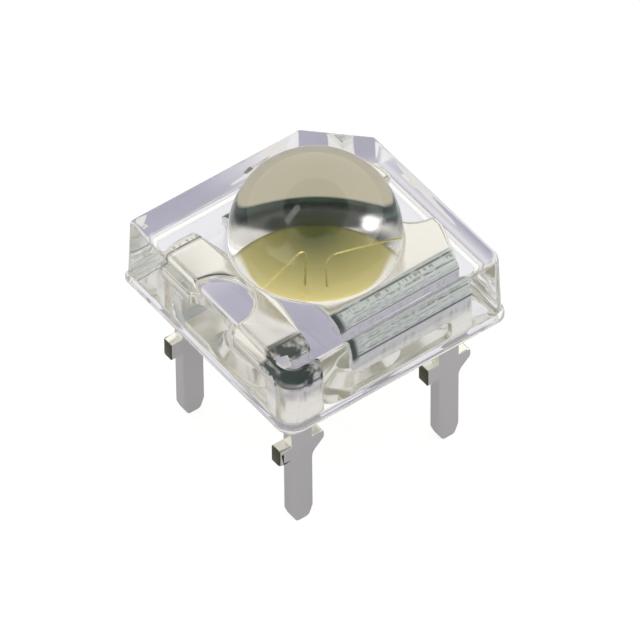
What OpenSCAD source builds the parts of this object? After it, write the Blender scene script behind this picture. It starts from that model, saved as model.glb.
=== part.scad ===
// Four-lead through-hole LED with a domed lens, cast in clear epoxy.
// Z = 0 is at the lead tips and +Z points up through the dome.
// X runs along the row that joins the two lead frames, Y along the folds.

/* [Epoxy body] */
// Width of the square block along its bottom edge
body_w = 7.62; // [7.5:0.02:8.4]
// Height of the block from its bottom edge to its top face
body_h = 2.38; // [2.3:0.02:3.2]
// How far each side leans in between the lip and the top face
body_draft = 0.07; // [0.02:0.01:0.12]
// How far the lip along the bottom edge stands out
lip_out = 0.06; // [0.03:0.01:0.1]
// Height of that lip
lip_h = 0.3; // [0.15:0.01:0.4]
// Radius round the edge of the top face
top_edge_r = 0.14; // [0.04:0.01:0.25]
// Width cut off each side by the polarity chamfer, at the top face
chamfer_w = 1.5; // [0.8:0.05:1.8]
// Radius of the corner between the two -X and -Y sides
corner_front_r = 0.5; // [0.2:0.05:0.8]
// Radius of the corner between the +X and -Y sides
corner_right_r = 0.35; // [0.2:0.05:0.8]
// Radius of the corner between the -X and +Y sides
corner_left_r = 0.12; // [0.08:0.02:0.8]
// Width of the rim that the resin leaves round the open underside
rim_w = 0.12; // [0.08:0.01:0.5]
// Depth of the shrunk underside inside that rim
underside_sink = 0.1; // [0.04:0.01:0.15]
// Width of the slope between the rim and the shrunk underside
underside_slope = 0.35; // [0.2:0.05:0.5]

/* [Dome lens] */
// Radius of the spherical lens
dome_r = 2.42; // [2.1:0.02:2.6]
// Height of the sphere's centre above the top face
dome_rise = 0.2; // [0.1:0.02:0.6]
// Radius of the fillet between the lens and the top face
dome_fillet_r = 0.07; // [0.03:0.01:0.2]

/* [Leads] */
// Distance between lead centres, along X and along Y
lead_pitch = 5.08; // [5:0.02:5.2]
// Width of a lead, along X
lead_w = 0.7; // [0.5:0.02:0.8]
// Thickness of the stamped sheet
sheet_t = 0.4; // [0.3:0.02:0.5]
// Length of a lead below the block
lead_below = 4.95; // [4.2:0.05:6]
// Width of the flat end of a lead
tip_w = 0.42; // [0.3:0.02:0.5]
// Height over which a lead narrows to its flat end
tip_taper = 0.36; // [0.2:0.02:0.5]
// Radius of the corners of the flat end
tip_r = 0.14; // [0.04:0.01:0.14]

/* [Stand-off shoulders] */
// Height of the sheared tab's underside above the lead tips
standoff_z = 2.55; // [2:0.05:3]
// How far the tab and the shoulder stand out from the lead
shoulder_w = 0.41; // [0.3:0.01:0.5]
// Height of the sheared tab
tab_h = 0.6; // [0.4:0.02:0.8]
// Radius of the shoulder's outer corners
shoulder_r = 0.14; // [0.05:0.01:0.18]
// Length of the shoulder's upright outer edge
shoulder_edge = 0.3; // [0.3:0.01:0.38]
// How far below the tab's underside the shoulder's slope ends
shoulder_tail = 0.08; // [0.02:0.01:0.2]
// Radius of the hollow where the slope runs into the lead
shoulder_fillet_r = 0.4; // [0.2:0.02:0.6]

/* [Lead frames] */
// Depth of the frames' top surface below the block's top face
plate_depth = 0.76; // [0.6:0.02:1]
// Outside radius of the folds
fold_r = 0.6; // [0.55:0.01:0.8]
// Distance from the centre to the outer ends of the plates
plate_x = 3.37; // [3.2:0.01:3.45]
// Distance from the centre line to where the cup frame starts to narrow
ear_y = 1.34; // [1.3:0.02:1.6]
// Distance from the centre line to where the cup frame has narrowed to its leads
cup_neck_y = 2.6; // [2.3:0.01:2.65]
// Distance from the centre line to where the wire frame has narrowed to its leads
wire_neck_y = 2.25; // [2:0.01:2.28]
// Distance from the centre line to the ends of the wire frame's ears
ear_end_y = 2.68; // [2.4:0.01:2.7]
// Radius of the ears' outer corners
ear_r = 0.44; // [0.1:0.01:0.46]
// Height that the ears reach down below the plates' underside
ear_drop = 0.03; // [0.02:0.01:0.1]
// Radius of the round notch in each outer end
notch_r = 0.95; // [0.8:0.01:1.1]
// Distance from the centre to a notch's centre
notch_x = 3.28; // [3.2:0.01:3.5]
// Radius of the rounded horns beside a notch
horn_r = 0.18; // [0.08:0.01:0.2]
// Distance from the centre to the cup frame's inner edge
cup_edge_x = 1.2; // [1.1:0.01:1.3]
// Distance from the centre to the wire frame's inner edge, at its middle
wire_edge_x = 1.9; // [1.88:0.01:2]
// Half length of the straight middle of the wire frame's inner edge
wire_edge_y = 0.95; // [0.6:0.05:1.2]
// Height of the cup frame's folded aprons above the block's bottom edge
apron_rise = 0.42; // [0.3:0.02:0.6]
// Radius of the aprons' free lower corner
apron_r = 0.25; // [0.1:0.01:0.35]
// Radius of the hollow between an apron and its lead
apron_fillet_r = 0.2; // [0.1:0.01:0.3]

/* [Reflector cup] */
// Radius at which the plate starts to roll into the cup
cup_mouth_r = 1.5; // [1.4:0.01:1.52]
// Radius of the rolled lip of the cup, in section
cup_lip_r = 0.5; // [0.35:0.01:0.55]
// Slope of the cup's wall from level, in degrees
cup_slope = 50; // [45:1:60]
// Depth of the cup below the plate's top surface
cup_depth = 0.62; // [0.5:0.01:0.7]
// Thickness of the drawn wall and floor
cup_wall = 0.26; // [0.2:0.01:0.3]
// Width of the flat collar left round the cup where it passes the inner edge
cup_collar = 0.12; // [0.1:0.01:0.15]

/* [Phosphor fill] */
// Depth of the fill's edge below the plate's top surface
fill_depth = 0.12; // [0.08:0.01:0.2]
// Sag of the fill's surface at the middle
fill_sag = 0.03; // [0.01:0.01:0.05]

/* [Chip] */
// Side of the square chip
chip_w = 0.36; // [0.28:0.02:0.5]
// Height of the chip
chip_h = 0.11; // [0.08:0.01:0.15]
// Side of the square contact step in one corner of the chip
chip_step_w = 0.13; // [0.11:0.01:0.14]
// Depth of the contact step
chip_step_h = 0.02; // [0.01:0.005:0.03]
// Thickness of the glue under the chip
glue_t = 0.02; // [0.015:0.005:0.04]
// How far the glue is squeezed out past the chip
glue_spread = 0.06; // [0.03:0.01:0.1]

/* [Bond wires] */
// Diameter of the gold wire
wire_d = 0.03; // [0.024:0.001:0.03]
// Diameter of the wire's neck and bend, which the ball's heat has swollen
neck_d = 0.033; // [0.032:0.001:0.04]
// Diameter of the ball that ends a wire on the chip
ball_d = 0.09; // [0.07:0.01:0.1]
// Height of that ball
ball_h = 0.03; // [0.02:0.005:0.04]
// Radius of the bend at the top of a wire's loop
loop_bend_r = 0.16; // [0.1:0.01:0.25]
// Height of the long wire's bend above the plates
long_loop_h = 0.4; // [0.2:0.01:0.45]
// Height of the short wire's bend above the plates
short_loop_h = 0.22; // [0.2:0.01:0.45]
// Distance from the wire frame's inner edge to the long wire's stitch
long_stitch_in = 0.16; // [0.1:0.01:0.22]
// Place of the long wire's stitch along Y
long_stitch_y = -0.1; // [-0.3:0.05:0.3]
// Distance of the short wire's stitch outside the cup's mouth
short_stitch_out = 0.2; // [0.1:0.01:0.3]
// Place of the short wire's stitch along Y
short_stitch_y = -0.05; // [-0.3:0.05:0.3]
// Diameter of the flattened stitch on a plate
stitch_d = 0.1; // [0.08:0.01:0.14]
// Height of the flattened stitch
stitch_h = 0.015; // [0.01:0.005:0.02]

/* [Hidden] */

$fn = 96;
corner_fn = 32;
wire_fn = 16;
edge_steps = 4;
sag_steps = 6;
slice_t = 0.001;
over = 1;

top_inset = lip_out + body_draft;
lead_x = lead_pitch / 2;
outer_y = lead_pitch / 2 + sheet_t / 2;
far_y = outer_y + over;
edge_x = lead_x + lead_w / 2;
inner_x = lead_x - lead_w / 2;
base_z = lead_below;
top_z = base_z + body_h;
plate_z = top_z - plate_depth;
fold_z = plate_z - fold_r;
ear_base_z = plate_z - sheet_t - ear_drop;
apron_z = base_z + apron_rise;
horn_x = plate_x - horn_r;
horn_y = sqrt(pow(notch_r + horn_r, 2) - pow(horn_x - notch_x, 2));

cup_roll_x = cup_mouth_r - cup_lip_r * sin(cup_slope);
cup_roll_z = plate_z - cup_lip_r * (1 - cos(cup_slope));
cup_floor_z = plate_z - cup_depth;
cup_floor_r = cup_roll_x - (cup_roll_z - cup_floor_z) / tan(cup_slope);
cup_skin = cup_wall / sin(cup_slope);
cup_root_r = cup_roll_x - (cup_roll_z - plate_z + sheet_t) / tan(cup_slope) + cup_skin;
cup_base_z = cup_floor_z - cup_wall;
cup_base_r = cup_floor_r - cup_wall / tan(cup_slope) + cup_skin;

fill_z = plate_z - fill_depth;
fill_r = cup_mouth_r - sqrt(pow(cup_lip_r, 2) - pow(cup_lip_r - fill_depth, 2));

chip_z = cup_floor_z + glue_t;
chip_top_z = chip_z + chip_h;
pad_place = (chip_w - chip_step_w) / 2;

long_start = [-pad_place, pad_place, chip_top_z];
long_end = [-wire_edge_x - long_stitch_in, long_stitch_y, plate_z];
short_start = [pad_place, -pad_place, chip_top_z - chip_step_h];
short_end = [cup_mouth_r + short_stitch_out, short_stitch_y, plate_z];

// Corner rounding of a convex outline by true arcs: the corners are cut at
// their tangent points and a circle fills each one.
function unit(v) = v / norm(v);
function toward(pts, i, step) = unit(pts[(i + len(pts) + step) % len(pts)] - pts[i]);
function half_angle(pts, i) = acos(toward(pts, i, -1) * toward(pts, i, 1)) / 2;
function tangents(pts, r, i) =
    [for (step = [-1, 1]) pts[i] + toward(pts, i, step) * r / tan(half_angle(pts, i))];
function round_centre(pts, r, i) =
    pts[i] + unit(toward(pts, i, -1) + toward(pts, i, 1)) * r / sin(half_angle(pts, i));

module rounded_polygon(pts, radii) {
    polygon([for (i = [0 : len(pts) - 1]) each radii[i] > 0 ? tangents(pts, radii[i], i) : [pts[i]]]);
    for (i = [0 : len(pts) - 1])
        if (radii[i] > 0)
            translate(round_centre(pts, radii[i], i)) circle(radii[i]);
}

// Carries a Y-Z outline along X.
module along_x(from, to) {
    translate([from, 0, 0]) rotate([90, 0, 90]) linear_extrude(to - from) children();
}

// Carries an X-Z outline along Y.
module along_y(from, to) {
    translate([0, to, 0]) rotate([90, 0, 0]) linear_extrude(to - from) children();
}

// The block's outline with its sides moved in by inset.
module body_outline(inset) {
    h = body_w / 2 - inset;
    cut = chamfer_w + (top_inset - inset) * (2 - sqrt(2));
    rounded_polygon(
        [[-h, -h], [h, -h], [h, h - cut], [h - cut, h], [-h, h]],
        [corner_front_r, corner_right_r, 0, 0, corner_left_r]);
}

// A thin slice of the block at height z, used to shape its sides and edge.
module body_slice(inset, z) {
    translate([0, 0, z - slice_t]) linear_extrude(slice_t) body_outline(inset, $fn = corner_fn);
}

// The leaning sides and the rounded edge of the top face.
module body_block() {
    edge_inset = top_inset - body_draft * top_edge_r / body_h;
    hull() {
        body_slice(lip_out, base_z + slice_t);
        for (i = [0 : edge_steps]) {
            a = 90 * i / edge_steps;
            body_slice(edge_inset + top_edge_r * (1 - cos(a)), top_z - top_edge_r * (1 - sin(a)));
        }
    }
}

// The lip along the bottom edge, where the resin stood at the mould's mouth.
module bottom_lip() {
    hull() {
        body_slice(0, base_z + slice_t);
        body_slice(0, base_z + lip_h - lip_out);
        body_slice(2 * lip_out, base_z + lip_h + lip_out);
    }
}

// The shallow hollow that shrinkage leaves inside the rim of the underside.
module underside_hollow() {
    hull() {
        translate([0, 0, base_z - over]) linear_extrude(over) body_outline(rim_w, $fn = corner_fn);
        body_slice(rim_w + underside_slope, base_z + underside_sink);
    }
}

// The lens: a sphere on a short upright skirt with a small fillet at its foot.
module dome() {
    sink = top_edge_r + dome_fillet_r;
    foot_r = dome_r + dome_fillet_r;
    translate([0, 0, top_z]) rotate_extrude() {
        intersection() {
            translate([0, dome_rise]) circle(dome_r);
            translate([0, dome_rise]) square(dome_r + over);
        }
        translate([0, -sink]) square([dome_r, sink + dome_rise]);
        difference() {
            translate([0, -sink]) square([foot_r, sink + dome_fillet_r]);
            translate([foot_r, dome_fillet_r]) circle(dome_fillet_r);
        }
    }
}

// The sheet after folding: a channel with a rounded fold along each side.
module folded_profile(inset) {
    r = fold_r - inset;
    y = outer_y - fold_r;
    translate([-y, -over]) square([2 * y, plate_z - inset + over]);
    translate([-y - r, -over]) square([2 * (y + r), fold_z + over]);
    for (side = [-1, 1])
        translate([side * y, fold_z]) circle(r);
}

module folded_sheet() {
    along_x(-plate_x - over, plate_x + over) difference() {
        folded_profile(0);
        folded_profile(sheet_t);
    }
}

// What is punched out of the +X end of a frame: a round notch, and the inner
// side of the rounded horn on each side of it.
module notch() {
    translate([notch_x, 0]) circle(notch_r);
    for (side = [0, 1]) mirror([0, side]) difference() {
        polygon([[horn_x, horn_y], [plate_x + over, horn_y], [plate_x + over, 0], [notch_x, 0]]);
        translate([horn_x, horn_y]) circle(horn_r);
    }
}

// The cup frame's stamped outline, seen from above. It narrows towards the
// leads and goes on doing so round the folds.
module cup_frame_blank() {
    difference() {
        union() {
            polygon([[-cup_edge_x, -far_y], [edge_x, -far_y], [edge_x, -cup_neck_y], [plate_x, -ear_y],
                     [plate_x, ear_y], [edge_x, cup_neck_y], [edge_x, far_y], [-cup_edge_x, far_y]]);
            circle(cup_mouth_r + cup_collar);
        }
        notch();
    }
}

// The wire frame's stamped outline, seen from above. Its rounded ears keep
// their width into the folds.
module wire_frame_blank() {
    difference() {
        rounded_polygon(
            [[-edge_x, -far_y], [-inner_x, -far_y], [-inner_x, -wire_neck_y], [-wire_edge_x, -wire_edge_y],
             [-wire_edge_x, wire_edge_y], [-inner_x, wire_neck_y], [-inner_x, far_y], [-edge_x, far_y],
             [-edge_x, ear_end_y], [-plate_x, ear_end_y], [-plate_x, -ear_end_y], [-edge_x, -ear_end_y]],
            [0, 0, 0, 0, 0, 0, 0, 0, 0, ear_r, ear_r, 0]);
        mirror([1, 0]) notch();
    }
}

// What is sheared off round a frame's blank, inside the block. Below the
// block the front view alone cuts the sheet.
module waste() {
    translate([0, 0, base_z]) linear_extrude(plate_z - base_z + over) difference() {
        square(2 * (plate_x + 2 * over), center = true);
        children();
    }
}

// One lead seen from the front: a taper at the tip, a sheared tab on its -X
// side and a rounded, sloping shoulder on its +X side.
module lead_outline() {
    half = lead_w / 2;
    tab_top = standoff_z + tab_h;
    slope_top = tab_top - shoulder_edge;
    slope_end = standoff_z - shoulder_tail;
    lean = atan2(shoulder_w, slope_top - slope_end);
    reach = shoulder_fillet_r * tan(lean / 2);
    rounded_polygon(
        [[-half, fold_z + over], [-half, tip_taper], [-tip_w / 2, 0],
         [tip_w / 2, 0], [half, tip_taper], [half, fold_z + over]],
        [0, tip_r, tip_r, tip_r, tip_r, 0]);
    translate([-half - shoulder_w, standoff_z]) square([shoulder_w + half, tab_h]);
    rounded_polygon(
        [[0, slope_end], [half, slope_end], [half + shoulder_w, slope_top],
         [half + shoulder_w, tab_top], [0, tab_top]],
        [0, 0, shoulder_r, shoulder_r, 0]);
    difference() {
        polygon([[half, slope_end], [half, slope_end - reach],
                 [half + reach * sin(lean), slope_end + reach * cos(lean)]]);
        translate([half + shoulder_fillet_r, slope_end - reach]) circle(shoulder_fillet_r);
    }
}

// The cup frame from the front: a wide apron that ends in a lead at +X. The
// underside of each fold leans in from the ear to the lead.
module cup_frame_front() {
    lean = (plate_x - edge_x) / (cup_neck_y - ear_y);
    fold_end_x = edge_x + lean * (cup_neck_y - outer_y + fold_r);
    polygon([[-cup_edge_x - over, fold_z], [edge_x, fold_z], [fold_end_x, ear_base_z],
             [plate_x + over, ear_base_z], [plate_x + over, plate_z + over],
             [-cup_edge_x - over, plate_z + over]]);
    rounded_polygon(
        [[-cup_edge_x, apron_z], [edge_x, apron_z], [edge_x, fold_z + over], [-cup_edge_x, fold_z + over]],
        [apron_r, 0, 0, 0]);
    translate([inner_x - apron_fillet_r, apron_z - apron_fillet_r]) difference() {
        square(apron_fillet_r);
        circle(apron_fillet_r);
    }
    translate([lead_x, 0]) lead_outline();
}

// The wire frame from the front: a strip that ends in a lead at -X.
module wire_frame_front() {
    translate([-plate_x - over, ear_base_z]) square([plate_x + over, plate_z - ear_base_z + over]);
    translate([-lead_x, 0]) lead_outline();
}

// The drawn cup: a rolled lip, a sloping wall and a flat floor.
module cup_skin() {
    rotate_extrude() polygon(
        [[0, cup_base_z], [cup_base_r, cup_base_z], [cup_root_r, plate_z - sheet_t],
         [cup_root_r, plate_z - sheet_t / 2], [0, plate_z - sheet_t / 2]]);
}

// The open inside of the cup in section, and the space above it.
module cup_section() {
    polygon([[0, cup_floor_z], [cup_floor_r, cup_floor_z],
             [cup_roll_x, cup_roll_z], [0, cup_roll_z]]);
    difference() {
        translate([0, cup_roll_z - slice_t]) square([cup_mouth_r, over]);
        translate([cup_mouth_r, plate_z - cup_lip_r]) circle(cup_lip_r);
    }
}

// A wire from a ball on the chip: an upright neck, one bend, then a straight
// run down to a flattened stitch. The run's fall follows from the bend being
// tangent to it.
module bond_wire(start, end, bend_z) {
    run = norm([end.x - start.x, end.y - start.y]);
    heading = atan2(end.y - start.y, end.x - start.x);
    level = run - loop_bend_r;
    drop = bend_z - end.z;
    fall = atan2(drop, level) + asin(loop_bend_r / norm([level, drop]));
    arc_x = loop_bend_r * (1 + sin(fall));
    arc_z = bend_z + loop_bend_r * cos(fall);
    length = norm([run - arc_x, arc_z - end.z]);
    translate([start.x, start.y, 0]) rotate([0, 0, heading]) {
        translate([0, 0, start.z]) cylinder(d = ball_d, h = ball_h);
        translate([0, 0, start.z]) cylinder(d = neck_d, h = bend_z - start.z);
        translate([loop_bend_r, 0, bend_z]) rotate([90, 0, 180])
            rotate_extrude(angle = 90 + fall) translate([loop_bend_r, 0]) circle(d = neck_d, $fn = wire_fn);
        difference() {
            translate([arc_x, 0, arc_z]) rotate([0, 90 + fall, 0])
                translate([0, 0, -wire_d / 4]) cylinder(d = wire_d, h = length + wire_d);
            translate([run - over, -over, end.z - 2 * over]) cube(2 * over);
        }
        translate([run, 0, end.z]) cylinder(d = stitch_d, h = stitch_h);
    }
}

module cup_lead_frame() {
    color("#dddcd2") difference() {
        union() {
            difference() {
                intersection() {
                    folded_sheet();
                    along_y(-far_y, far_y) cup_frame_front();
                }
                waste() cup_frame_blank();
            }
            cup_skin();
        }
        rotate_extrude() cup_section();
    }
}

module wire_lead_frame() {
    color("#dfdfdb") difference() {
        intersection() {
            folded_sheet();
            along_y(-far_y, far_y) wire_frame_front();
        }
        waste() wire_frame_blank();
    }
}

module led_chip() {
    color("#b8cfd6") translate([0, 0, chip_z]) difference() {
        translate([-chip_w / 2, -chip_w / 2, 0]) cube([chip_w, chip_w, chip_h]);
        translate([chip_w / 2 - chip_step_w, -chip_w / 2 - over, chip_h - chip_step_h])
            cube([chip_step_w + over, chip_step_w + over, over]);
    }
}

module chip_glue() {
    half = chip_w / 2 + glue_spread;
    color("#e9e6da") translate([0, 0, cup_floor_z]) linear_extrude(glue_t) rounded_polygon(
        [[-half, -half], [half, -half], [half, half], [-half, half]],
        [for (i = [0 : 3]) half / 2]);
}

module long_bond_wire() {
    color("#e0b24a") bond_wire(long_start, long_end, plate_z + long_loop_h);
}

module short_bond_wire() {
    color("#e0b24a") bond_wire(short_start, short_end, plate_z + short_loop_h);
}

// The cup up to the fill's surface, which sinks towards the middle as a parabola.
module filled_cup() {
    rotate_extrude() intersection() {
        cup_section();
        polygon(
            [[0, cup_floor_z - over],
             for (i = [0 : sag_steps]) let (r = cup_mouth_r * i / sag_steps)
                 [r, fill_z + fill_sag * (pow(r / fill_r, 2) - 1)],
             [cup_mouth_r, cup_floor_z - over]]);
    }
}

// The room for the wires in the fill. It reaches through each ball into the
// chip, so that no skin of resin is left between the two.
module wire_seats() {
    long_bond_wire();
    short_bond_wire();
    for (start = [long_start, short_start])
        translate([start.x, start.y, start.z - ball_h / 2]) cylinder(d = wire_d, h = ball_h);
}

// The resin with phosphor that fills the cup round the chip.
module phosphor_fill() {
    color("#b9b05c") difference() {
        filled_cup();
        led_chip();
        chip_glue();
        wire_seats();
    }
}

// The casting, with a seat in it for each piece that it holds.
module epoxy_body() {
    color("#c9c7d6", 0.4) difference() {
        union() {
            body_block();
            bottom_lip();
            dome();
        }
        underside_hollow();
        cup_lead_frame();
        wire_lead_frame();
        filled_cup();
        long_bond_wire();
        short_bond_wire();
    }
}

epoxy_body();
cup_lead_frame();
wire_lead_frame();
phosphor_fill();
led_chip();
chip_glue();
long_bond_wire();
short_bond_wire();
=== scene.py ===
import math

import bmesh
import bpy
import numpy as np
from mathutils import Matrix, Vector
from mathutils.geometry import tessellate_polygon


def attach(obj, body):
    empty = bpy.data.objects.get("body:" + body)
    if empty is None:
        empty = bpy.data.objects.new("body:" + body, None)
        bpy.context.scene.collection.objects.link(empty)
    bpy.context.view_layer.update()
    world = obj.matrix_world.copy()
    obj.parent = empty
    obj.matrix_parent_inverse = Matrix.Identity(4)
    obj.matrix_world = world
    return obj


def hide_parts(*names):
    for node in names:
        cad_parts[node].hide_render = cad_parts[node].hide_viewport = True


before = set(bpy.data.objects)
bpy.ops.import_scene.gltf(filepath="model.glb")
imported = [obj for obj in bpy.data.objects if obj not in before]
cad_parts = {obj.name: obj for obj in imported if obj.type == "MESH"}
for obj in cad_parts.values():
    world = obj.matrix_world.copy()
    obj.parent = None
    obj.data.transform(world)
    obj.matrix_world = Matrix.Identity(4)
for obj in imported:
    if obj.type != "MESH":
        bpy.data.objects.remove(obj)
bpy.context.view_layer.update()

# Camera. The photo looks down on the edge between the two front sides, from
# far off through a long lens. Its aim is a point just under the block.
MM = 0.001
view_azimuth = math.radians(-36.47)
view_elevation = math.radians(46.77)
view_roll = math.radians(-0.51)
view_distance = 268.9 * MM
block_base_z = 4.95 * MM
aim_right = 0.11 * MM
aim_down = 0.617 * MM

back = Vector((math.sin(view_azimuth) * math.cos(view_elevation),
               -math.cos(view_azimuth) * math.cos(view_elevation),
               math.sin(view_elevation)))
level_right = Vector((math.cos(view_azimuth), math.sin(view_azimuth), 0))
level_up = back.cross(level_right)
right = math.cos(view_roll) * level_right + math.sin(view_roll) * level_up
up = back.cross(right)
aim = Vector((0, 0, block_base_z)) + aim_right * right - aim_down * up

lens = bpy.data.cameras.new("camera")
lens.sensor_width = 36
lens.lens = 547
lens.clip_start = 10 * MM
lens.clip_end = 2
camera = bpy.data.objects.new("camera", lens)
facing = Matrix((right, up, back)).transposed().to_4x4()
camera.matrix_world = Matrix.Translation(aim + back * view_distance) @ facing
bpy.context.scene.collection.objects.link(camera)
bpy.context.scene.camera = camera
bpy.context.scene.view_settings.view_transform = "Standard"

# Light crosses the resin's faces and meets the silver many times on its way.
for kind, bounces in (("max", 40), ("glossy", 24), ("transmission", 40), ("diffuse", 4)):
    setattr(bpy.context.scene.cycles, kind + "_bounces", bounces)


# Studio. A sheet of pale paper under the lead tips, in a light tent. The
# camera sees both as white. Silver and resin see the paper in the tones given
# below and a tent with bright and dark places, both fitted to the photo.
def linear(hex_colour, alpha=1.0):
    """An sRGB hex colour as linear red, green, blue and alpha."""
    code = hex_colour.lstrip("#")
    share = [int(code[i:i + 2], 16) / 255 for i in (0, 2, 4)]
    return [c / 12.92 if c <= 0.04045 else ((c + 0.055) / 1.055) ** 2.4 for c in share] + [alpha]


def add_node(tree, kind, inputs=None, **properties):
    """One shader node, with its properties set and each input set or linked."""
    made = tree.nodes.new("ShaderNode" + kind)
    for name, value in properties.items():
        setattr(made, name, value)
    for name, value in (inputs or {}).items():
        if isinstance(value, bpy.types.NodeSocket):
            tree.links.new(value, made.inputs[name])
        else:
            made.inputs[name].default_value = value
    return made


def new_material(name):
    """An empty node material and the tree that it is built in."""
    made = bpy.data.materials.new(name)
    made.use_nodes = True
    made.node_tree.nodes.clear()
    return made, made.node_tree


def product(*values):
    """The product of several values. Like the other functions for patterns,
    it adds its nodes to tree, the node tree at hand."""
    whole = values[0]
    for value in values[1:]:
        whole = add_node(tree, "Math", {0: whole, 1: value}, operation="MULTIPLY").outputs[0]
    return whole


def largest(*values):
    """The largest of several values."""
    whole = values[0]
    for value in values[1:]:
        whole = add_node(tree, "Math", {0: whole, 1: value}, operation="MAXIMUM").outputs[0]
    return whole


def laid_over(under, *layers):
    """A colour with others laid over it in turn, each given as its share of
    the surface and its colour."""
    for share, colour in layers:
        inputs = {"Factor": share, "A": under, "B": colour}
        under = add_node(tree, "Mix", inputs, data_type="RGBA").outputs["Result"]
    return under


floor_half = 400 * MM
floor_corners = [(floor_half * x, floor_half * y, 0) for x, y in ((-1, -1), (1, -1), (1, 1), (-1, 1))]
floor_mesh = bpy.data.meshes.new("floor")
floor_mesh.from_pydata(floor_corners, [], [(0, 1, 2, 3)])
floor = bpy.data.objects.new("floor", floor_mesh)
bpy.context.scene.collection.objects.link(floor)

# Matt paper. Silver mirrors it grey. Resin shows a painted shadow of the block
# on it, lavender, and the paper pale where it lies open beyond the block's right,
# back and left. After two mirrors or more it is pale. Glossy Depth counts them, so 1.5 parts 1 from 2.
paper, tree = new_material("seamless_paper")
path = add_node(tree, "LightPath").outputs
through_resin = path["Is Transmission Ray"]
second_mirror = 1.5
mirrored_twice = add_node(tree, "Math", {0: path["Glossy Depth"], 1: second_mirror},
                          operation="GREATER_THAN").outputs[0]
spot = add_node(tree, "SeparateXYZ", {0: add_node(tree, "TexCoord").outputs["Object"]}).outputs


def past(axis, covered, clear):
    """0 on the side of a line on the floor that the painted shadow covers and 1
    on its clear side, both in mm from the middle of the part."""
    limits = {"Value": spot[axis], "From Min": covered * MM, "From Max": clear * MM}
    return add_node(tree, "MapRange", limits).outputs[0]


# Painted shadow: the lavender under the block ends along these lines.
right_side = product(past("X", 1.5, 4.5), past("Y", -5, -2))
beyond_painted_shadow = product(largest(right_side, past("Y", 4.5, 6.5), past("X", -6, -9)), through_resin)
tone = laid_over(linear("a7a8ac"), (through_resin, linear("b4b2c4")), (beyond_painted_shadow, linear("f4f4f2")),
                 (mirrored_twice, linear("f8f8f4")))
glow = add_node(tree, "Emission", {"Color": tone, "Strength": 1.0})
shade = add_node(tree, "BsdfDiffuse", {"Color": linear("9e9caa")})
own_light = add_node(tree, "MapRange", {
    "Value": largest(mirrored_twice, beyond_painted_shadow), "To Min": 0.5, "To Max": 0.95}).outputs[0]
for_part = add_node(tree, "MixShader", {0: own_light, 1: shade.outputs[0], 2: glow.outputs[0]})
seen_by_part = largest(path["Is Glossy Ray"], through_resin)
behind_white = add_node(tree, "MixShader", {0: seen_by_part, 1: shade.outputs[0], 2: for_part.outputs[0]})
white = add_node(tree, "Emission", {"Color": (1, 1, 1, 1), "Strength": 0.8})
pale = add_node(tree, "BsdfDiffuse", {"Color": (0.2, 0.2, 0.2, 1)})
for_camera = add_node(tree, "AddShader", {0: pale.outputs[0], 1: white.outputs[0]})
surface = add_node(tree, "MixShader", {
    0: path["Is Camera Ray"], 1: behind_white.outputs[0], 2: for_camera.outputs[0]})
add_node(tree, "OutputMaterial", {"Surface": surface.outputs[0]})
floor_mesh.materials.append(paper)

world = bpy.data.worlds.new("light_tent")
bpy.context.scene.world = world
world.use_nodes = True
tree = world.node_tree
tree.nodes.clear()
direction = add_node(tree, "TexCoord").outputs["Generated"]


def around(azimuth, elevation, inner, outer):
    """1 within inner degrees of a direction and 0 beyond outer degrees from
    it. The azimuth is in degrees to the right of the camera's."""
    turn = math.radians(azimuth) + view_azimuth
    tilt = math.radians(elevation)
    centre = (math.sin(turn) * math.cos(tilt), -math.cos(turn) * math.cos(tilt), math.sin(tilt))
    cosine = add_node(tree, "VectorMath", {0: direction, 1: centre}, operation="DOT_PRODUCT").outputs["Value"]
    limits = {"Value": cosine, "From Min": math.cos(math.radians(outer)),
              "From Max": math.cos(math.radians(inner))}
    return add_node(tree, "MapRange", limits, interpolation_type="SMOOTHSTEP").outputs[0]


# The tent is greyer low in front and a little brighter behind. It has a
# bright panel low on each side with a dim one over the left, dark openings
# overhead and above the camera, a small warm one at the right and a lamp.
towards_camera = (-0.594, -0.804, 0)
behind = (1.12, 1.11, 1.03, 1)
left_panel = (1.9, 1.8, 1.6, 1)
right_panel = (2.2, 2.2, 2.1, 1)
lamp = (2.4, 2.4, 2.4, 1)
opening_rim = 5
height = add_node(tree, "SeparateXYZ", {0: direction}).outputs["Z"]
nearness = add_node(tree, "VectorMath", {0: direction, 1: towards_camera},
                    operation="DOT_PRODUCT").outputs["Value"]
front = add_node(tree, "MapRange", {"Value": nearness, "From Min": 0.0, "From Max": 0.5},
                 interpolation_type="SMOOTHSTEP").outputs[0]
low = add_node(tree, "MapRange", {"Value": height, "From Min": 0.75, "From Max": 0.55},
               interpolation_type="SMOOTHSTEP").outputs[0]
light = laid_over(linear("f2f1ec"), (product(front, low), linear("c4c4c2")),
                  (around(165, 45, 30, 60), behind), (around(-45, 6, 12, 24), left_panel),
                  (around(92, 6, 12, 24), right_panel), (around(-64, 27, 12, 22), linear("565a56")))
for azimuth, elevation, inner in ((8, 83, 38), (-12, 60, 18), (38, 56, 14)):
    light = laid_over(light, (around(azimuth, elevation, inner, inner + opening_rim), linear("2a342c")))
light = laid_over(light, (around(84, 50, 2, 5), linear("c8a070")))
for azimuth, elevation in ((-61, 49), (-63, 54), (-66, 60), (-71, 66)):
    light = laid_over(light, (around(azimuth, elevation, 3, 5.5), lamp))

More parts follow.
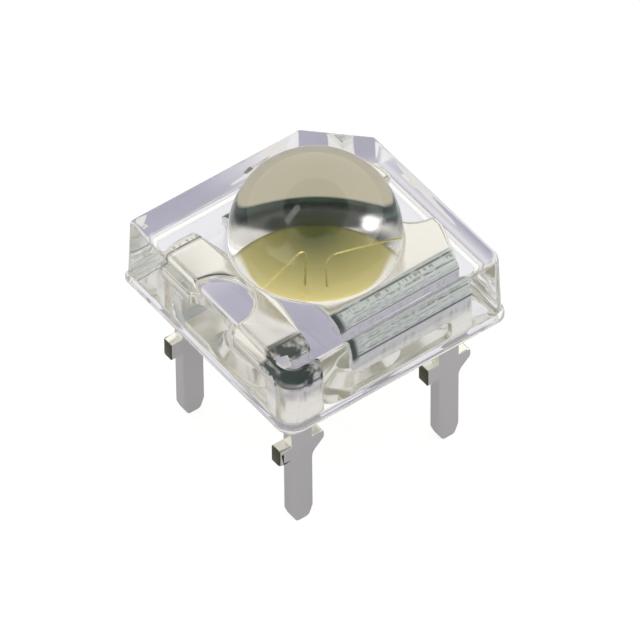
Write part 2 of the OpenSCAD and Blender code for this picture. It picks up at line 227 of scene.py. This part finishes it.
# After two mirrors the tent is plain and light, and so is what matt surfaces
# scatter, at a strength fitted to the photo.
path = add_node(tree, "LightPath").outputs
mirrored_twice = add_node(tree, "Math", {0: path["Glossy Depth"], 1: second_mirror},
                          operation="GREATER_THAN").outputs[0]
scattered = add_node(tree, "Math", {0: path["Diffuse Depth"], 1: 0.5}, operation="GREATER_THAN").outputs[0]
light = laid_over(light, (mirrored_twice, linear("f8f8f4")))
tent_light = add_node(tree, "Background", {"Color": light, "Strength": 1.0})
soft_light = add_node(tree, "Background", {"Color": linear("fbfaf4"), "Strength": 1.7})
white = add_node(tree, "Background", {"Color": (1, 1, 1, 1), "Strength": 1.0})
for_part = add_node(tree, "MixShader", {0: scattered, 1: tent_light.outputs[0], 2: soft_light.outputs[0]})
surface = add_node(tree, "MixShader", {0: path["Is Camera Ray"], 1: for_part.outputs[0], 2: white.outputs[0]})
add_node(tree, "OutputWorld", {"Surface": surface.outputs[0]})


# Casting. One piece of clear epoxy, poured upside down into a cup mould: the
# block leans in from a lip at the mould's mouth, the lens stands on its top,
# and the free surface has shrunk into a shallow hollow underneath.
block_half = 3.81
block_height = 2.38
lip_out = 0.06
side_lean = 0.07
top_edge_radius = 0.14
chamfer_width = 1.5
corner_radii = (0.5, 0.35, 0.06, 0.06, 0.14)
rim_width = 0.12
hollow_depth = 0.1
hollow_slope = 0.35
hollow_power = 2.2
lens_radius = 2.42
lens_rise = 0.2
lens_fillet = 0.07
arc_steps = 12
side_steps = 26


def rounded_loop(corners, radii, steps):
    """A closed outline with each corner replaced by an arc: its centre lies on
    the corner's bisector, and its ends are where it touches the two sides."""
    points = []
    corners = np.array(corners, float)
    for i, (corner, radius) in enumerate(zip(corners, radii)):
        before = corners[i - 1] - corner
        after = corners[(i + 1) % len(corners)] - corner
        before /= np.linalg.norm(before)
        after /= np.linalg.norm(after)
        if radius == 0:
            points.append(corner[None])
            continue
        bisector = (before + after) / np.linalg.norm(before + after)
        half = math.acos(np.clip(before @ after, -1, 1)) / 2
        centre = corner + bisector * radius / math.sin(half)
        first = before * radius / math.tan(half) + corner - centre
        last = after * radius / math.tan(half) + corner - centre
        turn = math.atan2(first[0] * last[1] - first[1] * last[0], first @ last)
        angles = math.atan2(first[1], first[0]) + turn * np.linspace(0, 1, steps + 1)
        points.append(centre + radius * np.stack([np.cos(angles), np.sin(angles)], 1))
    return points


def block_outline(inset):
    """The block's outline moved in by inset, with the same number of points
    each time: an arc at each corner and evenly spaced points between."""
    h = block_half - inset
    cut = chamfer_width + (lip_out + side_lean - inset) * (2 - math.sqrt(2))
    arcs = rounded_loop([(-h, -h), (h, -h), (h, h - cut), (h - cut, h), (-h, h)], corner_radii, arc_steps)
    sides = []
    for arc, following in zip(arcs, arcs[1:] + arcs[:1]):
        share = np.linspace(0, 1, side_steps + 1)[1:-1, None]
        sides += [arc, arc[-1] * (1 - share) + following[0] * share]
    return np.concatenate(sides)


def quarter(steps):
    """Sine and 1 - cosine of evenly spaced angles from 0 to 90 degrees."""
    angles = np.linspace(0, math.pi / 2, steps + 1)
    return np.sin(angles), 1 - np.cos(angles)


def grid_mesh(name, rings, close_ends=True):
    """A mesh from a stack of closed rings, an array of ring, point and
    coordinate in millimetres. A fan closes each end on the ring's mean."""
    count, around = rings.shape[:2]
    points = rings.reshape(-1, 3)
    ring, point = np.meshgrid(np.arange(count - 1), np.arange(around), indexing="ij")
    following = (point + 1) % around
    quads = np.stack([ring * around + point, ring * around + following,
                      (ring + 1) * around + following, (ring + 1) * around + point], -1).reshape(-1, 4)
    faces = quads.tolist()
    if close_ends:
        points = np.concatenate([points, rings[0].mean(0)[None], rings[-1].mean(0)[None]])
        start, end = count * around, count * around + 1
        last = (count - 1) * around
        faces += [(start, (i + 1) % around, i) for i in range(around)]
        faces += [(end, last + i, last + (i + 1) % around) for i in range(around)]
    mesh = bpy.data.meshes.new(name)
    mesh.from_pydata((points * MM).tolist(), [], faces)
    mesh.validate()
    mesh.shade_smooth()
    return mesh


def face_outwards(mesh):
    """Merges what coincides and turns every face of a closed mesh outwards."""
    shell = bmesh.new()
    shell.from_mesh(mesh)
    bmesh.ops.remove_doubles(shell, verts=shell.verts, dist=1e-4 * MM)
    bmesh.ops.recalc_face_normals(shell, faces=shell.faces)
    shell.to_mesh(mesh)
    shell.free()


base = block_base_z / MM
top = base + block_height
outline_rings = []
for share in (0.02, 0.35, 0.7, 0.97):
    outline_rings.append((block_outline(rim_width + hollow_slope) * share, base + hollow_depth))
for share in np.linspace(0, 1, 9):
    inset = rim_width + hollow_slope * (1 - share)
    outline_rings.append((block_outline(inset), base + hollow_depth * (1 - share ** hollow_power)))
# The rim and the lip with its small rounds, as inset and height.
lip_profile = ((rim_width - 0.015, 0), (0.05, 0), (0.02, 0.006), (0.006, 0.02), (0, 0.05), (0, 0.2),
               (0.004, 0.235), (0.03, 0.275), (0.052, 0.3), (0.06, 0.325), (0.064, 0.36))
for inset, z in lip_profile:
    outline_rings.append((block_outline(inset), base + z))
lean_at_edge = lip_out + side_lean * (1 - top_edge_radius / block_height)
outline_rings.append((block_outline(lean_at_edge - 0.002), top - top_edge_radius - 0.06))
for out, down in zip(*quarter(9)[::-1]):
    loop = block_outline(lean_at_edge + top_edge_radius * out)
    outline_rings.append((loop, top - top_edge_radius * (1 - down)))
outline_rings.append((block_outline(lean_at_edge + top_edge_radius + 0.02), top))
edge_loop = outline_rings[-1][0]
bearing = np.arctan2(edge_loop[:, 1], edge_loop[:, 0])
circle = np.stack([np.cos(bearing), np.sin(bearing)], 1)
foot = lens_radius + lens_fillet
for share in (0.15, 0.4, 0.65, 0.85, 0.97):
    outline_rings.append((edge_loop * (1 - share) + circle * (foot + 0.02) * share, top))
for inward, upward in zip(*quarter(6)):
    outline_rings.append((circle * (foot - lens_fillet * inward), top + lens_fillet * upward))
for z in (0.1, 0.15):
    outline_rings.append((circle * lens_radius, top + z))
for angle in np.linspace(0, math.radians(89), 60):
    ring = circle * lens_radius * math.cos(angle)
    outline_rings.append((ring, top + lens_rise + lens_radius * math.sin(angle)))
casting_mesh = grid_mesh("epoxy_casting", np.stack(
    [np.column_stack([loop, np.full(len(loop), z)]) for loop, z in outline_rings]))
face_outwards(casting_mesh)
casting = bpy.data.objects.new("epoxy_casting", casting_mesh)
bpy.context.scene.collection.objects.link(casting)

# Cast epoxy is a touch cloudy and lavender, and its mould was not quite flat.
resin, tree = new_material("clear_cast_epoxy")
place = add_node(tree, "TexCoord").outputs["Object"]
swell = add_node(tree, "TexNoise", {"Vector": place, "Scale": 0.7 / MM, "Detail": 1.0})
ripple = add_node(tree, "Bump", {"Height": swell.outputs[0], "Strength": 0.25, "Distance": 0.004 * MM})
epoxy = add_node(tree, "BsdfPrincipled", {
    "Base Color": linear("f6f5fb"), "Roughness": 0.01, "IOR": 1.53, "Transmission Weight": 1.0,
    "Normal": ripple.outputs[0]})
add_node(tree, "OutputMaterial", {"Surface": epoxy.outputs[0]})
casting_mesh.materials.append(resin)
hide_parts("epoxy_body")
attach(casting, "root")


# Lead frames. Both are sheared from one 0.4 mm sheet, folded down along two
# lines and silver plated. The shear has rolled the outer face's edges over.
sheet = 0.4
fold_radius = 0.6
outer_y = 2.74
plate_z = 6.57
fold_y = outer_y - fold_radius
fold_z = plate_z - fold_radius
fold_length = fold_radius * math.pi / 2
leg_start = fold_y + fold_length
lead_x = 2.54
lead_half = 0.35
edge_x = lead_x + lead_half
plate_x = 3.37
ear_y = 1.34
cup_neck_y = 2.6
wire_neck_y = 2.25
notch_x = 3.28
notch_radius = 0.92
horn_radius = 0.18
cup_mouth = 1.5
cup_collar = 1.62
cup_edge = 1.2
apron_rise = 0.42
standoff = 2.55
tab_height = 0.6
shoulder = 0.41
tip_taper = 0.36
tip_half = 0.21
plate_roll = 0.13
lead_roll = 0.03
strip_roll = 0.28
collar_roll = 0.06


def along_sheet(z):
    """Distance along the flat sheet, from the middle, of height z on a leg."""
    return leg_start + fold_z - z


def fold(points):
    """Carries points of the flat sheet, as x, distance along and depth, onto
    the folded one: level, then a quarter circle, then straight down."""
    x, along, depth = points.T
    side = np.sign(along)
    past = np.abs(along) - fold_y
    angle = np.clip(past / fold_radius, 0, math.pi / 2)
    radius = fold_radius - depth
    y = np.where(past < 0, np.abs(along), fold_y + radius * np.sin(angle))
    z = np.where(past < 0, plate_z - depth, fold_z + radius * np.cos(angle))
    z = z - np.maximum(past - fold_length, 0)
    return np.stack([x, side * y, z], 1)


def arc(centre, radius, start, end, steps):
    """Points of an arc about a centre, with its angles in radians."""
    angles = np.linspace(start, end, steps + 1)
    return np.array(centre) + radius * np.stack([np.cos(angles), np.sin(angles)], 1)


def lead_end(x):
    """The outline of one lead from its right side round the tip to its left
    side, as x and distance along the sheet: shoulder, tip and tab. Each
    corner is x, height and radius; the first and last only give directions."""
    right, left = x + lead_half, x - lead_half
    tab_top = standoff + tab_height
    corners = [
        (right, fold_z, 0), (right, tab_top, 0.03), (right + shoulder, tab_top, 0.14),
        (right + shoulder, tab_top - 0.3, 0.14), (right, standoff - 0.08, 0.4), (right, tip_taper, 0.15),
        (x + tip_half, 0, 0.14), (x - tip_half, 0, 0.14), (left, tip_taper, 0.15), (left, standoff, 0.02),
        (left - shoulder, standoff, 0.04), (left - shoulder, tab_top, 0.04), (left, tab_top, 0.03),
        (left, fold_z, 0)]
    loop = rounded_loop([(a, along_sheet(b)) for a, b, r in corners], [r for a, b, r in corners], 8)
    return np.concatenate(loop[1:-1])


def mirrored_loop(half):
    """A closed outline from its half on the +Y side, in order from right to
    left, and the same half reflected."""
    return np.concatenate([half, (half * (1, -1))[::-1]])


def inset_loop(loop, amount):
    """The outline moved in by amount, along the mean of the two edge normals
    at each point, lengthened at corners."""
    ahead = np.roll(loop, -1, 0) - loop
    ahead /= np.linalg.norm(ahead, axis=1)[:, None]
    behind = np.roll(ahead, 1, 0)
    inward = np.stack([-(ahead + behind)[:, 1], (ahead + behind)[:, 0]], 1)
    inward /= np.linalg.norm(inward, axis=1)[:, None]
    lean = np.clip(np.einsum("ij,ij->i", inward, np.stack([-ahead[:, 1], ahead[:, 0]], 1)), 0.5, 1)
    return loop + inward * (amount / lean)[:, None]


def thin_out(loop, least):
    """The outline without points closer than least to the one before."""
    kept = [loop[0]]
    for point in loop[1:]:
        if np.linalg.norm(point - kept[-1]) > least:
            kept.append(point)
    if np.linalg.norm(kept[-1] - kept[0]) <= least:
        kept.pop()
    return np.array(kept)


def ease(values, start, end):
    """0 up to start and 1 from end on, with a smooth rise between."""
    share = np.clip((values - start) / (end - start), 0, 1)
    return share * share * (3 - 2 * share)


def roll_over(loop):
    """How far the shear has rolled the outer face's edge over, at each point
    of an outline: more on the wide plates than on the slim leads, and most
    along the middle of the wire strip's inner edge."""
    x, along = loop.T
    along = np.abs(along)
    on_lead = ease(along, 2.0, 2.7) * ease(x, -3.0, -2.85)
    on_strip = ease(x, -2.25, -2.05) * (1 - ease(x, -1.8, -1.7)) * (1 - ease(along, 1.4, 2.1))
    on_collar = np.abs(np.hypot(x, along) - cup_collar) < 0.01
    roll = plate_roll + (lead_roll - plate_roll) * on_lead + (strip_roll - plate_roll) * on_strip
    return np.where(on_collar, collar_roll, roll)


def sheared_sheet(name, loop, hole=None, back_roll=0.02):
    """A blank of the sheet with rounded edges, cut across at each step of the
    folds and carried onto the folded form. Its UV map is the flat sheet."""
    loop = thin_out(loop, 0.008)
    roll = roll_over(loop)
    blank = bmesh.new()
    levels = []
    rolled, rounded = quarter(6)
    for s, c in zip(rolled, rounded):
        levels.append((roll * (1 - s), roll * c))
    for s, c in zip(rolled[::-1], rounded[::-1]):
        levels.append((np.full(len(loop), back_roll * (1 - s)), np.full(len(loop), sheet - back_roll * c)))
    rings = []
    for inset, depth in levels:
        flat = inset_loop(loop, inset)
        rings.append([blank.verts.new((x, y, d)) for (x, y), d in zip(flat, depth)])
    count = len(loop)
    for upper, lower in zip(rings, rings[1:]):
        for i in range(count):
            blank.faces.new((upper[i], upper[(i + 1) % count], lower[(i + 1) % count], lower[i]))
    for ring, edge in ((rings[0], 0), (rings[-1], 1)):
        loops = [[v.co for v in ring]]
        points = list(ring)
        if hole is not None:
            inner = [blank.verts.new((x, y, ring[0].co.z)) for x, y in hole[edge]]
            loops.append([v.co for v in inner])
            points += inner
        for a, b, c in tessellate_polygon(loops):
            blank.faces.new((points[a], points[b], points[c]))
    for side in (-1, 1):
        for past in np.linspace(-0.04, fold_length + 0.04, 27):
            everything = blank.verts[:] + blank.edges[:] + blank.faces[:]
            bmesh.ops.bisect_plane(blank, geom=everything, plane_co=(0, side * (fold_y + past), 0),
                                   plane_no=(0, 1, 0))
    mesh = bpy.data.meshes.new(name)
    blank.to_mesh(mesh)
    blank.free()
    flat = np.empty(len(mesh.vertices) * 3)
    mesh.vertices.foreach_get("co", flat)
    flat = flat.reshape(-1, 3)
    corner = np.empty(len(mesh.loops), int)
    mesh.loops.foreach_get("vertex_index", corner)
    mesh.uv_layers.new(name="flat_sheet").data.foreach_set("uv", flat[corner, :2].ravel())
    mesh.vertices.foreach_set("co", (fold(flat) * MM).ravel())
    return mesh


horn_x = plate_x - horn_radius
horn_y = math.sqrt((notch_radius + horn_radius) ** 2 - (horn_x - notch_x) ** 2)
horn_turn = math.atan2(horn_y, horn_x - notch_x)


def notched_end(side):
    """The end of a plate from the middle of its notch to the outside of its
    horn, for +X or -X, in the order of going away from the middle."""
    notch = arc((notch_x, 0), notch_radius, math.pi, horn_turn, 40)
    horn = arc((horn_x, horn_y), horn_radius, horn_turn - math.pi, 0, 14)[1:]
    return np.concatenate([notch, horn]) * (side, 1)


# Silver plate over rolled sheet: a soft mirror with fine rolling lines. A
# painted sheen lightens the cup frame's folds, and painted dark reflections streak every fold's outer face.
silver, tree = new_material("silver_plated_sheet")
flat_place = add_node(tree, "UVMap", uv_map="flat_sheet").outputs[0]
flat_parts = add_node(tree, "SeparateXYZ", {0: flat_place}).outputs
across = flat_parts["X"]
along = add_node(tree, "Math", {0: flat_parts["Y"]}, operation="ABSOLUTE").outputs[0]


def between(value, rise, top, fall, end):
    """1 from top to fall and 0 outside rise to end, in mm."""
    sides = []
    for outside, inside in ((rise, top), (end, fall)):
        limits = {"Value": value, "From Min": outside, "From Max": inside}
        sides.append(add_node(tree, "MapRange", limits, interpolation_type="SMOOTHSTEP").outputs[0])
    return product(*sides)


def streaks(across_scale, along_scale, detail, low_end, high_end):
    """Noise with so many spots a mm across and along the sheet, drawn out
    where the two differ, as 0 to 1 between two of its levels."""
    stretched = add_node(tree, "CombineXYZ", {
        "X": product(across, across_scale), "Y": product(along, along_scale)}).outputs[0]
    noise = add_node(tree, "TexNoise", {"Vector": stretched, "Scale": 1.0, "Detail": detail}).outputs[0]
    limits = {"Value": noise, "From Min": low_end, "From Max": high_end}
    return add_node(tree, "MapRange", limits, interpolation_type="SMOOTHSTEP").outputs[0]


# The painted dark reflections, in order down the fold, which runs from 2.14 to 3.08 mm along.
start_line = product(between(along, 2.26, 2.29, 2.32, 2.36), streaks(3.0, 2.0, 2.0, 0.25, 0.5), 0.8)
dashes = product(between(along, 2.34, 2.38, 2.44, 2.52), streaks(9.0, 2.0, 1.0, 0.5, 0.6), 0.5)
fine_lines = product(between(along, 2.48, 2.56, 3.0, 3.06), streaks(0.15, 26.0, 2.0, 0.4, 0.62),
                     streaks(5.0, 14.0, 2.0, 0.35, 0.6), 0.7)
end_line = product(between(along, 2.98, 3.02, 3.05, 3.1), 0.8)
comb = product(between(along, 3.2, 3.28, 3.6, 3.72), streaks(8.0, 0.8, 1.0, 0.48, 0.58), 0.18)
front_end = add_node(tree, "MapRange", {
    "Value": flat_parts["Y"], "From Min": -2.0, "From Max": -2.2}).outputs[0]
wire_blotches = product(between(along, 2.2, 2.35, 3.0, 3.3), between(across, -3.6, -3.4, -2.2, -2.1),
                        streaks(2.2, 1.6, 2.0, 0.42, 0.56), front_end)
cup_blotches = product(between(along, 2.2, 2.3, 3.0, 3.3), between(across, -1.6, -1.5, -1.1, -0.9),
                       streaks(2.2, 1.6, 2.0, 0.3, 0.42))
normal = add_node(tree, "SeparateXYZ", {0: add_node(tree, "NewGeometry").outputs["True Normal"]}).outputs
end_sign = add_node(tree, "Math", {0: flat_parts["Y"]}, operation="SIGN").outputs[0]
outwards = add_node(tree, "Math", {0: normal["Y"], 1: end_sign, 2: normal["Z"]},
                    operation="MULTIPLY_ADD").outputs[0]
outer_face = add_node(tree, "MapRange", {"Value": outwards, "From Min": 0.1, "From Max": 0.3}).outputs[0]
# Painted dark reflection, only on the folds' outer faces.
all_fold_reflections = largest(start_line, dashes, fine_lines, end_line, comb, wire_blotches, cup_blotches)
painted_fold_reflection = product(all_fold_reflections, outer_face)

# A smooth beige and a dark band seen in the lens are painted reflections here:
# a dull beige zone and a dark ring by distance from the cup's axis, on the top
# face and only on the half away from the camera.
far_way = (0.594, 0.804, 0)
place = add_node(tree, "TexCoord").outputs["Object"]
level = add_node(tree, "VectorMath", {0: place, 1: (1 / MM, 1 / MM, 0)}, operation="MULTIPLY").outputs[0]
from_axis = add_node(tree, "VectorMath", {0: level}, operation="LENGTH").outputs["Value"]
far = add_node(tree, "VectorMath", {0: level, 1: far_way}, operation="DOT_PRODUCT").outputs["Value"]
far_half = add_node(tree, "MapRange", {"Value": far, "From Min": 0.3, "From Max": 0.9},
                    interpolation_type="SMOOTHSTEP").outputs[0]
top_face = add_node(tree, "MapRange", {"Value": normal["Z"], "From Min": 0.1, "From Max": 0.3}).outputs[0]
painted_beige_reflection = product(between(from_axis, 1.46, 1.49, 2.2, 2.4), far_half, top_face)
painted_dark_ring = product(between(from_axis, 1.3, 1.4, 1.47, 1.5), far_half, top_face)

# The cup frame's folds, lighter and duller as a painted sheen, and the tabs' sheared ends.
fold_band = largest(between(along, 2.16, 2.24, 3.02, 3.1), product(between(along, 2.9, 3.0, 3.6, 3.8), 0.4))
painted_fold_sheen = product(fold_band, between(across, -1.9, -1.8, 4, 5))
tab_reach = lead_half + shoulder
tab_ends = [x - tab_reach for x in (-lead_x, lead_x)]
sheared = largest(*[between(across, x - 0.02, x - 0.01, x + 0.03, x + 0.05) for x in tab_ends])
sheared = product(sheared, between(along, 5, 5.2, 20, 21))
plate_colour = laid_over(
    linear("f4f2ea"), (painted_beige_reflection, linear("d2ccb0")), (painted_fold_sheen, linear("e4ebe5")), (painted_dark_ring, linear("46524a")),
    (painted_fold_reflection, linear("36453e")), (sheared, linear("66684e")))
under_painted_beige = add_node(tree, "MapRange", {"Value": painted_beige_reflection, "To Min": 1.0, "To Max": 0.15}).outputs[0]
under_painted_sheen = add_node(tree, "MapRange", {"Value": painted_fold_sheen, "To Min": 1.0, "To Max": 0.4}).outputs[0]
polish = add_node(tree, "MapRange", {"Value": fold_band, "To Min": 0.17, "To Max": 0.3}).outputs[0]
grain_bump = add_node(tree, "Bump", {
    "Height": streaks(40.0, 3.0, 3.0, 0.0, 1.0), "Strength": 0.3, "Distance": 0.003 * MM})
plate = add_node(tree, "BsdfPrincipled", {
    "Base Color": plate_colour, "Metallic": product(under_painted_beige, under_painted_sheen),
    "Roughness": largest(polish, product(painted_beige_reflection, 0.5)), "Normal": grain_bump.outputs[0]})
add_node(tree, "OutputMaterial", {"Surface": plate.outputs[0]})


# Wire frame: a narrow strip at -X whose two ends fold down into leads.
wire_edge = 1.9
wire_edge_y = 0.95
ear_end = 2.76
ear_radius = 0.46
lead = lead_end(-lead_x)
inner_x = lead_half - lead_x
inner_corners = [(inner_x, leg_start), (inner_x, wire_neck_y), (-wire_edge, wire_edge_y), (-wire_edge, 0)]
inner = rounded_loop(inner_corners, [0, 0.3, 0.5, 0], 8)[1:3]
ear = rounded_loop([(-edge_x, ear_end), (-plate_x, ear_end), (-plate_x, horn_y)], [0, ear_radius, 0], 16)[1]
half = np.concatenate([np.concatenate(inner)[::-1], lead, ear, notched_end(-1)[::-1]])
wire_strip_mesh = sheared_sheet("wire_strip", mirrored_loop(half))
face_outwards(wire_strip_mesh)
wire_strip = bpy.data.objects.new("wire_strip", wire_strip_mesh)
bpy.context.scene.collection.objects.link(wire_strip)
wire_strip_mesh.materials.append(silver)
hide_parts("wire_lead_frame")
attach(wire_strip, "root")


# Cup frame: the wide piece at +X. Its middle is drawn down into the reflector
# cup, and its folds hang down as aprons before they narrow to the leads.
lip_radius = 0.5
cup_slope = math.radians(50)
cup_depth = 0.62
cup_wall = 0.26
floor_fillet = 0.12
axis_r = 0.02
roll_r = cup_mouth - lip_radius * math.sin(cup_slope)
roll_z = plate_z - lip_radius * (1 - math.cos(cup_slope))
cup_floor_z = plate_z - cup_depth
cup_floor_r = roll_r - (roll_z - cup_floor_z) / math.tan(cup_slope)
skin = cup_wall / math.sin(cup_slope)
root_r = roll_r - (roll_z - plate_z + sheet) / math.tan(cup_slope) + skin
around = np.linspace(0, 2 * math.pi, 193)[:-1]
unit_circle = np.stack([np.cos(around), np.sin(around)], 1)

apron_s = along_sheet(block_base_z / MM + apron_rise)
lead = lead_end(lead_x)
apron_x = lead_x - lead_half
apron_corners = [(apron_x, along_sheet(0)), (apron_x, apron_s), (-cup_edge, apron_s), (-cup_edge, fold_y)]
apron = rounded_loop(apron_corners, [0, 0.2, 0.25, 0], 8)[1:3]
collar_turn = math.acos(-cup_edge / cup_collar)
collar = arc((0, 0), cup_collar, collar_turn, math.pi, 24)
slope_y = np.linspace(ear_y + 0.1, cup_neck_y, 16)
slope_x = plate_x + (edge_x - plate_x) * (slope_y - ear_y) / (cup_neck_y - ear_y)
over_fold = np.arcsin(np.maximum(slope_y - fold_y, 0) / fold_radius)
slope = np.column_stack([slope_x, np.minimum(slope_y, fold_y) + fold_radius * over_fold])
ear_corner = rounded_loop([(plate_x, horn_y), (plate_x, ear_y), (slope_x[0], slope_y[0])], [0, 0.03, 0], 4)[1]
half = np.concatenate([notched_end(1), ear_corner, slope, lead] + apron + [collar])
cup_plate_mesh = sheared_sheet("cup_plate", mirrored_loop(half),
                               hole=(unit_circle * cup_mouth, unit_circle * root_r))

turn = np.linspace(0, cup_slope, 16)
profile = [(cup_mouth - lip_radius * math.sin(a), plate_z - lip_radius * (1 - math.cos(a))) for a in turn]
floor_edge = cup_floor_r - floor_fillet * math.tan(cup_slope / 2)
profile += [(floor_edge + floor_fillet * math.sin(a), cup_floor_z + floor_fillet * (1 - math.cos(a)))
            for a in np.linspace(cup_slope, 0, 8)]
profile += [(0.3, cup_floor_z), (axis_r, cup_floor_z)]
base_z = cup_floor_z - cup_wall
base_r = cup_floor_r - cup_wall / math.tan(cup_slope) + skin
outside = [(root_r, plate_z - sheet), (base_r + 0.08, base_z + 0.1), (base_r + 0.02, base_z + 0.03),
           (base_r - 0.03, base_z), (base_r - 0.1, base_z), (0.3, base_z), (axis_r, base_z)]


def turned(profile):
    """A surface of revolution about Z: each point of the profile, as radius
    and height, becomes a ring."""
    return np.stack([np.column_stack([unit_circle * r, np.full(len(unit_circle), z)]) for r, z in profile])


def joined(name, *meshes):
    """One mesh from several, which are deleted."""
    whole = bmesh.new()
    for mesh in meshes:
        whole.from_mesh(mesh)
        bpy.data.meshes.remove(mesh)
    made = bpy.data.meshes.new(name)
    whole.to_mesh(made)
    whole.free()
    return made


def capped(rings):
    """Rings with a last one that shrinks to a point."""
    end = np.repeat(rings[-1].mean(0)[None], rings.shape[1], 0)
    return np.concatenate([rings, end[None]])


cup_mesh = joined("cup_frame_metal", cup_plate_mesh,
                  grid_mesh("cup_inside", capped(turned(profile)), close_ends=False),
                  grid_mesh("cup_outside", capped(turned(outside)), close_ends=False))
face_outwards(cup_mesh)
cup_frame = bpy.data.objects.new("cup_frame_metal", cup_mesh)
bpy.context.scene.collection.objects.link(cup_frame)
cup_mesh.materials.append(silver)
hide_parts("cup_lead_frame")
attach(cup_frame, "root")

for piece in (wire_strip, cup_frame):
    piece.data.shade_smooth()
    piece.data.set_sharp_from_angle(angle=math.radians(35))


# Phosphor. Yellow powder in clear resin, poured into the cup round the chip;
# its surface has sunk a little in the middle.
fill_depth = 0.12
fill_sag = 0.03
fill_gap = 0.004
fill_z = plate_z - fill_depth
fill_r = cup_mouth - math.sqrt(lip_radius ** 2 - (lip_radius - fill_depth) ** 2)
radii = np.linspace(fill_r, axis_r, 24)
surface = [(r, fill_z - fill_sag * (1 - (r / fill_r) ** 2)) for r in radii]
bottom_z = cup_floor_z + fill_gap
under = [(axis_r, bottom_z), (cup_floor_r, bottom_z), (fill_r - 0.02, fill_z - 0.03)]
fill_mesh = grid_mesh("phosphor_disc", turned(under + surface))
face_outwards(fill_mesh)
fill = bpy.data.objects.new("phosphor_disc", fill_mesh)
bpy.context.scene.collection.objects.link(fill)

# Yellow powder, matt in its resin. The photo's light is painted with it: the
# disc darkens towards its far side and is pale at the ends across the view.
darkest_place = (0.65 * MM, 0.88 * MM, 6.45 * MM)
disc_stretch = 1.12
crosswise = (0.804 / disc_stretch, -0.594 / disc_stretch, 0)
powder, tree = new_material("phosphor_in_resin")
place = add_node(tree, "TexCoord").outputs["Object"]
away = add_node(tree, "VectorMath", {0: place, 1: darkest_place}, operation="DISTANCE").outputs["Value"]
painted_light_share = add_node(tree, "MapRange", {"Value": away, "From Min": 0.1 * MM, "From Max": 2.2 * MM}).outputs[0]
aside = add_node(tree, "VectorMath", {0: place, 1: crosswise}, operation="DOT_PRODUCT").outputs["Value"]
aside = add_node(tree, "Math", {0: aside}, operation="ABSOLUTE").outputs[0]
ends = add_node(tree, "MapRange", {"Value": aside, "From Min": 0.78 * MM, "From Max": 0.86 * MM},
                interpolation_type="SMOOTHSTEP").outputs[0]
powder_colour = laid_over(linear("525820"), (painted_light_share, linear("fcec90")), (ends, linear("f4f2e6")))
yellow = add_node(tree, "BsdfPrincipled", {"Base Color": powder_colour, "Roughness": 0.6})
add_node(tree, "OutputMaterial", {"Surface": yellow.outputs[0]})
fill_mesh.materials.append(powder)
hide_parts("phosphor_fill")
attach(fill, "root")


# Chip. A sawn sapphire die with its contact step, polished on top and left
# grey by the saw on its sides. It is glued to the cup's floor.
sapphire, tree = new_material("sawn_sapphire")
place = add_node(tree, "TexCoord").outputs["Object"]
saw_lines = (20 / MM, 20 / MM, 160 / MM)
cuts = add_node(tree, "VectorMath", {0: place, 1: saw_lines}, operation="MULTIPLY").outputs[0]
cuts = add_node(tree, "TexNoise", {"Vector": cuts, "Scale": 1.0, "Detail": 2.0}).outputs[0]
tone = laid_over(linear("a3bdc6"), (cuts, linear("cbe0e5")))
polish = add_node(tree, "MapRange", {"Value": cuts, "To Min": 0.1, "To Max": 0.35}).outputs[0]
crystal = add_node(tree, "BsdfPrincipled", {"Base Color": tone, "Roughness": polish})
add_node(tree, "OutputMaterial", {"Surface": crystal.outputs[0]})
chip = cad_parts["led_chip"]
chip.data.materials.clear()
chip.data.materials.append(sapphire)


# Chip glue. White die-attach adhesive, dispensed as a dot and squeezed out
# round the chip, where it cured a little uneven.
adhesive, tree = new_material("cured_adhesive")
place = add_node(tree, "TexCoord").outputs["Object"]
mottle = add_node(tree, "TexNoise", {"Vector": place, "Scale": 12 / MM, "Detail": 3.0}).outputs[0]
tone = laid_over(linear("dcd8c8"), (mottle, linear("f2f0e8")))
uneven = add_node(tree, "Bump", {"Height": mottle, "Strength": 0.4, "Distance": 0.004 * MM})
paste = add_node(tree, "BsdfPrincipled", {"Base Color": tone, "Roughness": 0.45, "Normal": uneven.outputs[0]})
add_node(tree, "OutputMaterial", {"Surface": paste.outputs[0]})
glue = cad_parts["chip_glue"]
glue.data.materials.clear()
glue.data.materials.append(adhesive)


# Bond wires. Drawn gold wire of 0.03 mm, balled on the chip by heat and
# stitched down at the other end. Powder has settled on their necks, within
# 0.05 to 0.09 mm of the upright through each ball.
ball_place = 0.115
for node, name, colour, powder_tone, ball in (
        ("long_bond_wire", "long_gold_wire", "fff09c", "9a9654", (-ball_place * MM, ball_place * MM, 0)),
        ("short_bond_wire", "short_gold_wire", "ece08c", "a8a468", (ball_place * MM, -ball_place * MM, 0))):
    drawn_gold, tree = new_material(name)
    place = add_node(tree, "TexCoord").outputs["Object"]
    level = add_node(tree, "VectorMath", {0: place, 1: (1, 1, 0)}, operation="MULTIPLY").outputs[0]
    away = add_node(tree, "VectorMath", {0: level, 1: ball}, operation="DISTANCE").outputs["Value"]
    clear = add_node(tree, "MapRange", {
        "Value": away, "From Min": 0.05 * MM, "From Max": 0.09 * MM}).outputs[0]
    tone = laid_over(linear(powder_tone), (clear, linear(colour)))
    dull = add_node(tree, "TexNoise", {"Vector": place, "Scale": 30 / MM, "Detail": 1.0}).outputs[0]
    polish = add_node(tree, "MapRange", {"Value": dull, "To Min": 0.15, "To Max": 0.35}).outputs[0]
    gold = add_node(tree, "BsdfPrincipled", {"Base Color": tone, "Metallic": clear, "Roughness": polish})
    add_node(tree, "OutputMaterial", {"Surface": gold.outputs[0]})
    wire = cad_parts[node]
    wire.data.materials.clear()
    wire.data.materials.append(drawn_gold)
